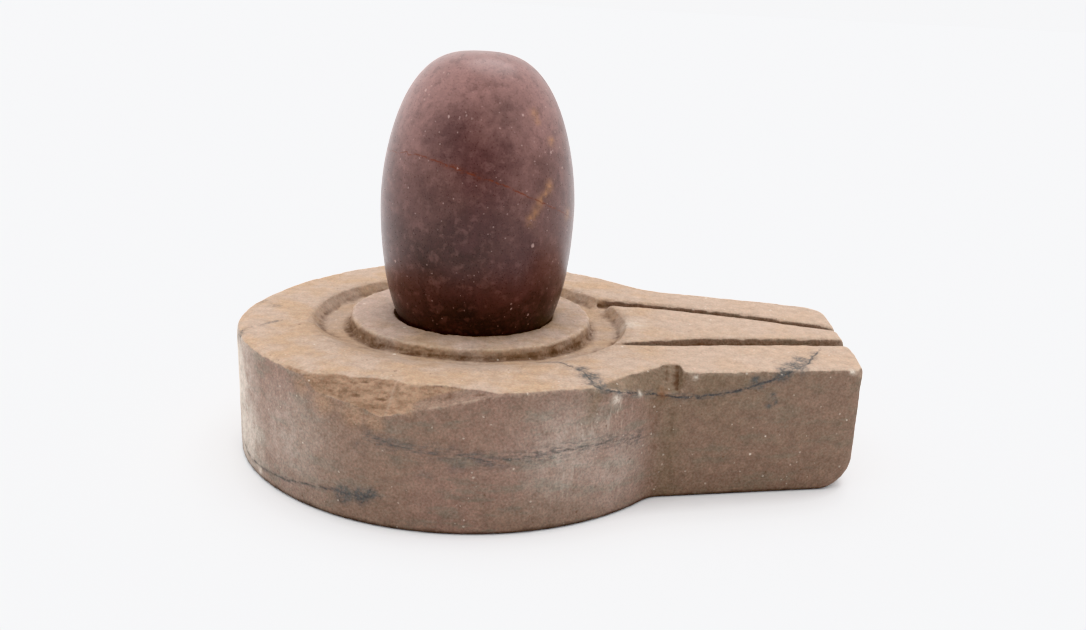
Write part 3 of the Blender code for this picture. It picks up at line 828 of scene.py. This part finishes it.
def sandstone(grain, flecks, vein):
    """Dry fine-grained sandstone: tan on top, and mauve-brown down its sides, which are also darkened
    as painted shade.
    """
    material, board, shader = new_material("worn_sandstone")
    place = board.add("ShaderNodeTexCoord").outputs
    spot = place["Object"]
    up = board.add("ShaderNodeSeparateXYZ", {"Vector": place["Normal"]}).outputs["Z"]
    height = board.add("ShaderNodeSeparateXYZ", {"Vector": spot}).outputs["Z"]
    drift = board.noise(spot, 28.0, 3.0, 0.55, 0.4)
    cloud = board.noise(spot, 75.0, 3.0, 0.6)
    mottle = board.noise(spot, 260.0, 4.0, 0.65)
    layers = board.noise(board.stretched(spot, (1.0, 1.0, 4.0)), 70.0, 5.0, 0.65)
    coarse = board.group(grain, {"Vector": spot, "Grain Size": 0.0030, "Contrast": 0.55})

    side = board.blend(board.remap(drift, 0.38, 0.62), SIDE_BROWN, SIDE_MAUVE)
    side = board.blend(board.remap(layers, 0.50, 0.64, 0.0, 0.85), side, SIDE_GREY)
    # Pale dust, and painted light on the drum's left side.
    dust_and_side_light_share = board.math("MULTIPLY", board.attribute("dust_and_side_light"), board.remap(mottle, 0.20, 0.60, 0.35, 0.95))
    side = board.blend(dust_and_side_light_share, side, DUST_AND_SIDE_LIGHT_GREY)
    side = board.blend(board.math("MULTIPLY", board.attribute("spout"), 0.42), side, OLIVE)
    top = board.blend(board.remap(cloud, 0.35, 0.65), TOP_TAN, TOP_PEACH)
    clouding = board.math("SUBTRACT", cloud, 0.5)
    inner = board.math("MULTIPLY_ADD", clouding, 1.2, board.attribute("inner"))
    top = board.blend(board.remap(inner, 0.2, 1.0, 0.0, 0.9), top, TOP_MAUVE)
    pink = board.math("MULTIPLY", board.attribute("spout"), board.remap(drift, 0.3, 0.6, 0.3, 0.8))
    top = board.blend(pink, top, TOP_PEACH)
    # Faces that look up take the top colours and steep faces the darker side colours: two tones of the
    # stone, and painted shade on the sides.
    ragged = board.math("MULTIPLY_ADD", board.math("SUBTRACT", mottle, 0.5), 0.35, up)
    level = board.math("MAXIMUM", board.remap(ragged, 0.50, 0.74), board.attribute("carved"))
    level = board.math("MULTIPLY", level, board.remap(board.attribute("edge"), 0.1, 0.6, 1.0, 0.15))
    colour = board.blend(level, side, top)
    grains = board.group(grain, {
        "Vector": spot, "Grain Size": 0.00065, "Contrast": board.remap(level, 0.0, 1.0, 1.05, 0.65)})

    ledges = board.noise(board.stretched(spot, (0.6, 0.6, 2.0)), 420.0, 4.0, 0.65)
    chip = board.blend(board.remap(ledges, 0.36, 0.60), CHIP_BROWN, CHIP_TAN)
    chipped = board.math("MAXIMUM", board.attribute("scar"), board.attribute("scoop"))
    below = board.math("MULTIPLY", board.attribute("tan"), board.remap(up, 0.7, 0.4, 0.0, 0.75))
    chipped = board.math("MAXIMUM", chipped, below)
    ragged_chip = board.math("MULTIPLY_ADD", mottle, 0.6, chipped)
    colour = board.blend(board.remap(ragged_chip, 0.40, 1.2), colour, chip)
    broken = board.attribute("broken")
    # Olive on the broken corner and on steep olive places; along the drum–spout seam this is painted
    # shade.
    steep = board.math("MULTIPLY", board.attribute("olive_and_seam_shade"), board.remap(up, 0.75, 0.5))
    olive_and_seam_shade = board.math("MAXIMUM", broken, steep)
    olive_and_seam_shade = board.math("MULTIPLY", olive_and_seam_shade, board.remap(mottle, 0.2, 0.5, 0.6, 1.0))
    colour = board.blend(board.math("MULTIPLY", olive_and_seam_shade, 0.9), colour, OLIVE)

    # Darker in hollows and in the gap at the seat's foot: dirt and painted shade; the carved ring is
    # made a little darker too.
    hollow = board.attribute("hollow")
    dirt_and_shade = board.remap(board.math("MULTIPLY_ADD", mottle, 0.3, hollow), 0.30, 1.6, 0.0, 0.75)
    dirt_and_shade = board.math("MULTIPLY", dirt_and_shade, board.remap(chipped, 0.0, 1.0, 1.0, 0.6))
    gap = board.math("MULTIPLY", board.attribute("crevice"), board.remap(mottle, 0.30, 0.62, 1.0, 0.50))
    dirt_and_shade = board.math("MAXIMUM", dirt_and_shade, gap)
    colour = board.blend(board.math("MULTIPLY", board.attribute("carved"), 0.10), colour, HOLLOW_BROWN)
    colour = board.blend(dirt_and_shade, colour, HOLLOW_BROWN)
    # Painted contact shadow: near-black brown along the bottom edge.
    foot = board.remap(board.math("MULTIPLY_ADD", mottle, -0.002, height), 0.0008, -0.0008)
    colour = board.blend(board.math("MULTIPLY", foot, 0.85), colour, FOOT_CONTACT_SHADOW_BROWN)
    proud = board.math("MULTIPLY", hollow, -1.0)
    worn = board.remap(board.math("MULTIPLY_ADD", cloud, -1.6, proud), -0.2, 1.0)
    worn = board.math("MULTIPLY", worn, board.remap(height, 0.030, 0.036))
    colour = board.blend(board.math("MULTIPLY", worn, 0.30), colour, WORN_PALE)

    lines = board.group(vein, vein_inputs(board, spot))
    colour = board.blend(board.math("MULTIPLY", lines["Halo"], 0.75), colour, STAIN_GREY)
    colour = board.blend(lines["Line"], colour, VEIN_BLUE)
    blotch = board.remap(board.noise(spot, 1100.0, 3.0, 0.6), 0.36, 0.60, 0.35, 1.0)
    soaked = board.remap(board.math("MULTIPLY_ADD", mottle, 0.9, board.attribute("stain")), 0.55, 1.25)
    stain = board.math("MULTIPLY", soaked, board.math("MULTIPLY", blotch, 0.9))
    colour = board.blend(stain, colour, STAIN_GREY)
    rust = board.math("MULTIPLY", board.attribute("rust"), board.remap(mottle, 0.35, 0.55))
    colour = board.blend(rust, colour, RUST)

    tone = board.math("MULTIPLY", grains["Tone"], coarse["Tone"])
    colour = board.blend(1.0, colour, board.blend(grains["Tint"], GRAIN_PINK, GRAIN_GREEN), "MULTIPLY")
    colour = board.blend(1.0, colour, board.grey(tone), "MULTIPLY")
    pale = board.group(flecks, {"Vector": spot, "Spacing": 0.0055, "Radius": 0.00050, "Share": 0.30})
    tiny = board.group(flecks, {"Vector": spot, "Spacing": 0.0021, "Radius": 0.00030, "Share": 0.30})
    dark = board.group(flecks, {"Vector": board.stretched(spot, (1.0, -1.0, 1.0)), "Spacing": 0.0034,
                                "Radius": 0.00034, "Share": 0.30})
    colour = board.blend(board.math("MULTIPLY", dark["Mask"], 0.5), colour, HOLLOW_BROWN)
    scratches = board.noise(board.stretched(spot, (1.0, 1.0, 0.22)), 800.0, 2.0, 0.6)
    streaks = board.remap(scratches, 0.54, 0.66)
    chalk = board.math("MULTIPLY", board.attribute("scratched"), streaks)
    chalk = board.math("MAXIMUM", chalk, board.math("MULTIPLY", board.attribute("chalk"), blotch))
    pale_share = board.math("MULTIPLY", pale["Mask"], 0.75)
    tiny_share = board.math("MULTIPLY", tiny["Mask"], 0.35)
    white = board.math("MAXIMUM", pale_share, tiny_share)
    colour = board.blend(board.math("MAXIMUM", white, chalk), colour, CHALK)

    board.feed(shader["Base Color"], colour)
    board.feed(shader["Roughness"], board.remap(grains["Height"], 0.3, 0.7, *SAND_ROUGHNESS))
    shader["Specular IOR Level"].default_value = SAND_SHINE
    relief = board.math("ADD", grains["Height"], board.math("MULTIPLY", coarse["Height"], 1.5))
    bump = board.add("ShaderNodeBump", {"Height": relief} | SAND_BUMP)
    board.feed(shader["Normal"], bump.outputs["Normal"])
    return material


def river_stone_tree(material):
    """Geometry nodes that shape a ball into the river stone."""
    tree, board, given, out = new_group(
        "river stone form", "GeometryNodeTree",
        [("Radius", FLOAT, STONE_RADIUS), ("Upper Height", FLOAT, STONE_UPPER_HEIGHT),
         ("Lower Height", FLOAT, STONE_LOWER_HEIGHT), ("Widest Ring", FLOAT, 0.07),
         ("Centre", FLOAT, 0.0), ("Unevenness", FLOAT, STONE_UNEVENNESS),
         ("Unevenness Size", FLOAT, STONE_UNEVENNESS_SIZE)],
        [("Geometry", GEOMETRY, None)])
    ball = board.add("GeometryNodeMeshIcoSphere", {"Radius": 1.0, "Subdivisions": STONE_SUBDIVISIONS})
    place = board.add("ShaderNodeSeparateXYZ", {0: board.add("GeometryNodeInputPosition").outputs[0]})
    x, y, z = place.outputs
    above = board.math("GREATER_THAN", z, 0.0)
    up_power, up_root = STONE_UPPER_SHAPE
    low_power, low_root = STONE_LOWER_SHAPE
    power = board.math("MULTIPLY_ADD", above, up_power - low_power, low_power)
    root = board.math("MULTIPLY_ADD", above, 1 / up_root - 1 / low_root, 1 / low_root)
    drop = board.math("POWER", board.math("ABSOLUTE", z), power)
    share = board.math("POWER", board.math("SUBTRACT", 1.0, drop, clamp=True), root)
    radius = board.math("MULTIPLY", share, given["Radius"])
    squared = board.math("ADD", board.math("MULTIPLY", x, x), board.math("MULTIPLY", y, y))
    reach = board.math("MAXIMUM", board.math("SQRT", squared), 0.0001)
    out_x = board.math("DIVIDE", board.math("MULTIPLY", x, radius), reach)
    out_y = board.math("DIVIDE", board.math("MULTIPLY", y, radius), reach)
    upper = board.math("MULTIPLY", board.math("MULTIPLY", z, given["Upper Height"]), above)
    below = board.math("SUBTRACT", 1.0, above)
    lower = board.math("MULTIPLY", board.math("MULTIPLY", z, given["Lower Height"]), below)
    height = board.math("ADD", board.math("ADD", upper, lower), given["Widest Ring"])
    spot = board.add("ShaderNodeCombineXYZ", {
        0: board.math("ADD", out_x, given["Centre"]), 1: out_y, 2: height}).outputs[0]
    shaped = board.add("GeometryNodeSetPosition", {"Geometry": ball.outputs["Mesh"], "Position": spot})
    here = board.add("GeometryNodeInputPosition").outputs[0]
    scale = board.math("DIVIDE", 1.0, given["Unevenness Size"])
    wave = board.math("SUBTRACT", board.noise(here, scale, 1.0), 0.5)
    push = board.math("MULTIPLY", wave, given["Unevenness"])
    facing = board.add("GeometryNodeInputNormal").outputs[0]
    offset = board.add("ShaderNodeVectorMath", {0: facing, "Scale": push}, operation="SCALE").outputs[0]
    uneven = board.add("GeometryNodeSetPosition", {"Geometry": shaped.outputs[0], "Offset": offset})
    smooth = board.add("GeometryNodeSetShadeSmooth", {"Geometry": uneven.outputs[0]})
    whole = board.add("GeometryNodeRealizeInstances", {"Geometry": smooth.outputs[0]})
    finish = board.add("GeometryNodeSetMaterial", {"Geometry": whole.outputs[0], "Material": material})
    board.feed(out["Geometry"], finish.outputs[0])
    return tree


def make_stone(material):
    """The river stone, shaped by its node tree and made plain."""
    item = bpy.data.objects.new("river_stone_seed", bpy.data.meshes.new("river_stone_seed"))
    bpy.context.scene.collection.objects.link(item)
    modifier = item.modifiers.new("river_stone_form", "NODES")
    modifier.node_group = river_stone_tree(material)
    sizes = {"Widest Ring": STONE_HIGH.z - STONE_UPPER_HEIGHT, "Centre": STONE_CENTRE_X}
    for socket in modifier.node_group.interface.items_tree:
        if socket.name in sizes:
            modifier[socket.identifier] = sizes[socket.name]
    item = plain_copy(item, "polished_river_stone")
    points = points_of(item.data)
    normals = normals_of(item.data)
    write_veins(item.data, points, normals, STONE_VEINS)
    for name, spots in STONE_MARKS.items():
        write_values(item.data, name, spot_values(points, spots))
    return item


def river_stone(grain, flecks, vein):
    """Hand-polished river stone: mauve, maroon and slate clouds with fine pale flecks."""
    material, board, shader = new_material("polished_river_stone")
    spot = board.add("ShaderNodeTexCoord").outputs["Object"]
    height = board.add("ShaderNodeSeparateXYZ", {"Vector": spot}).outputs["Z"]
    drift = board.noise(spot, 55.0, 4.0, 0.6, 0.5)
    cloud = board.noise(spot, 160.0, 4.0, 0.65, 0.3)
    grains = board.group(grain, {"Vector": spot, "Grain Size": 0.00055, "Contrast": 0.55})
    coarse = board.group(grain, {"Vector": spot, "Grain Size": 0.0024, "Contrast": 0.60})
    ragged = board.math("SUBTRACT", board.math("ADD", drift, cloud), 1.0)

    crown = board.math("MULTIPLY_ADD", ragged, 0.05, height)
    colour = board.blend(board.remap(crown, 0.075, 0.118), STONE_MAUVE, STONE_PINK)
    slate = board.math("MULTIPLY_ADD", ragged, 0.6, board.attribute("slate"))
    colour = board.blend(board.remap(slate, 0.0, 1.1, 0.0, 0.9), colour, STONE_SLATE)
    maroon = board.math("MULTIPLY_ADD", ragged, 1.2, board.attribute("maroon"))
    colour = board.blend(board.remap(maroon, 0.25, 0.95, 0.0, 0.85), colour, STONE_MAROON)
    # Maroon towards the foot, then near-black painted contact shade where the stone meets the seat.
    foot = board.math("MULTIPLY_ADD", ragged, 0.02, height)
    colour = board.blend(board.remap(foot, 0.066, 0.046, 0.0, 0.75), colour, STONE_MAROON)
    colour = board.blend(board.remap(foot, 0.058, 0.040, 0.0, 0.9), colour, STONE_FOOT_SHADE)

    mottle = board.noise(spot, 380.0, 3.0, 0.6)
    colour = board.blend(board.remap(mottle, 0.50, 0.68, 0.0, 0.22), colour, STONE_PINK)
    colour = board.blend(board.remap(mottle, 0.48, 0.32, 0.0, 0.35), colour, STONE_MAROON)

    ochre = board.math("MULTIPLY", board.attribute("ochre"), board.remap(cloud, 0.36, 0.56))
    colour = board.blend(board.math("MULTIPLY", ochre, 0.75), colour, STONE_OCHRE)
    crack = board.group(vein, vein_inputs(board, spot) | {"Line Width": 0.00042, "Wander": 0.0018})
    soaked = board.math("MULTIPLY", crack["Halo"], board.attribute("rusty"))
    rust = board.math("MAXIMUM", crack["Line"], soaked)
    colour = board.blend(board.math("MULTIPLY", rust, 0.9), colour, STONE_RUST)
    tone = board.math("MULTIPLY", grains["Tone"], coarse["Tone"])
    colour = board.blend(1.0, colour, board.grey(tone), "MULTIPLY")
    pale = board.group(flecks, {"Vector": spot, "Spacing": 0.0040, "Radius": 0.00046, "Share": 0.40})
    tiny = board.group(flecks, {"Vector": spot, "Spacing": 0.0016, "Radius": 0.00028, "Share": 0.38})
    pale_share = board.math("MULTIPLY", pale["Mask"], 0.60)
    tiny_share = board.math("MULTIPLY", tiny["Mask"], 0.42)
    specks = board.math("MAXIMUM", pale_share, tiny_share)
    colour = board.blend(specks, colour, STONE_FLECK)

    board.feed(shader["Base Color"], colour)
    board.feed(shader["Roughness"], board.remap(grains["Height"], 0.3, 0.7, *STONE_ROUGHNESS))
    shader["Specular IOR Level"].default_value = STONE_SHINE
    bump = board.add("ShaderNodeBump", {"Height": grains["Height"]} | STONE_BUMP)
    board.feed(shader["Normal"], bump.outputs["Normal"])
    return material


def make_floor():
    """Plain pale tabletop under the object."""
    material, board, shader = new_material("pale_floor")
    shader["Base Color"].default_value = FLOOR_WHITE
    shader["Roughness"].default_value = FLOOR_ROUGHNESS
    shader["Specular IOR Level"].default_value = 0.0
    shape = bmesh.new()
    bmesh.ops.create_grid(shape, x_segments=1, y_segments=1, size=FLOOR_HALF_SIZE)
    mesh = bpy.data.meshes.new("floor")
    shape.to_mesh(mesh)
    shape.free()
    mesh.materials.append(material)
    floor = bpy.data.objects.new("floor", mesh)
    bpy.context.scene.collection.objects.link(floor)


def light_scene():
    """White studio: light from above, left, right and behind, and a wide sun high up behind."""
    world = bpy.data.worlds.new("studio")
    bpy.context.scene.world = world
    world.use_nodes = True
    board = Board(world.node_tree)
    shader = world.node_tree.nodes["Background"].inputs
    direction = board.add("ShaderNodeTexCoord").outputs["Generated"]
    total = SKY_EVEN
    for axis, strength in SKY_SIDES:
        facing = board.add("ShaderNodeVectorMath", {0: direction, 1: axis}, operation="DOT_PRODUCT")
        share = board.math("MAXIMUM", facing.outputs["Value"], 0.0)
        total = board.math("MULTIPLY_ADD", share, strength, total)
    seen = board.add("ShaderNodeLightPath").outputs["Is Camera Ray"]
    board.feed(shader["Color"], board.blend(seen, board.grey(total), BACKDROP_WHITE))
    sun = bpy.data.lights.new("softbox", "SUN")
    sun.energy = SUN_STRENGTH
    sun.angle = SUN_WIDTH
    item = bpy.data.objects.new("softbox", sun)
    item.rotation_euler = SUN_TILT
    bpy.context.scene.collection.objects.link(item)
    bpy.context.scene.view_settings.view_transform = VIEW_TRANSFORM


def make_camera():
    """The photograph's camera."""
    data = bpy.data.cameras.new("camera")
    data.sensor_width = SENSOR
    data.lens = SENSOR * FOCAL_PIXELS / IMAGE_WIDTH
    data.clip_start = CLIP_START
    forward = Vector((0, cos(CAMERA_PITCH), -sin(CAMERA_PITCH)))
    level = Vector((1, 0, 0))
    above = level.cross(forward)
    right = cos(CAMERA_ROLL) * level + sin(CAMERA_ROLL) * above
    up = cos(CAMERA_ROLL) * above - sin(CAMERA_ROLL) * level
    turn = Matrix.Rotation(CAMERA_TURN, 3, "Z")
    axes = Matrix((turn @ right, turn @ up, -(turn @ forward))).transposed().to_4x4()
    camera = bpy.data.objects.new("camera", data)
    camera.matrix_world = Matrix.Translation(CAMERA_PLACE) @ axes
    bpy.context.scene.collection.objects.link(camera)
    bpy.context.scene.camera = camera


def main():
    grain = grain_group()
    flecks = fleck_group()
    vein = vein_group()
    base = make_base_mesh()
    store_base_marks(base)
    base.data.materials.clear()
    base.data.materials.append(sandstone(grain, flecks, vein))
    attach(base, "root")
    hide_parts("yoni_base")
    stone = make_stone(river_stone(grain, flecks, vein))
    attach(stone, "root")
    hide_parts("lingam_stone")
    make_floor()
    light_scene()
    make_camera()


main()
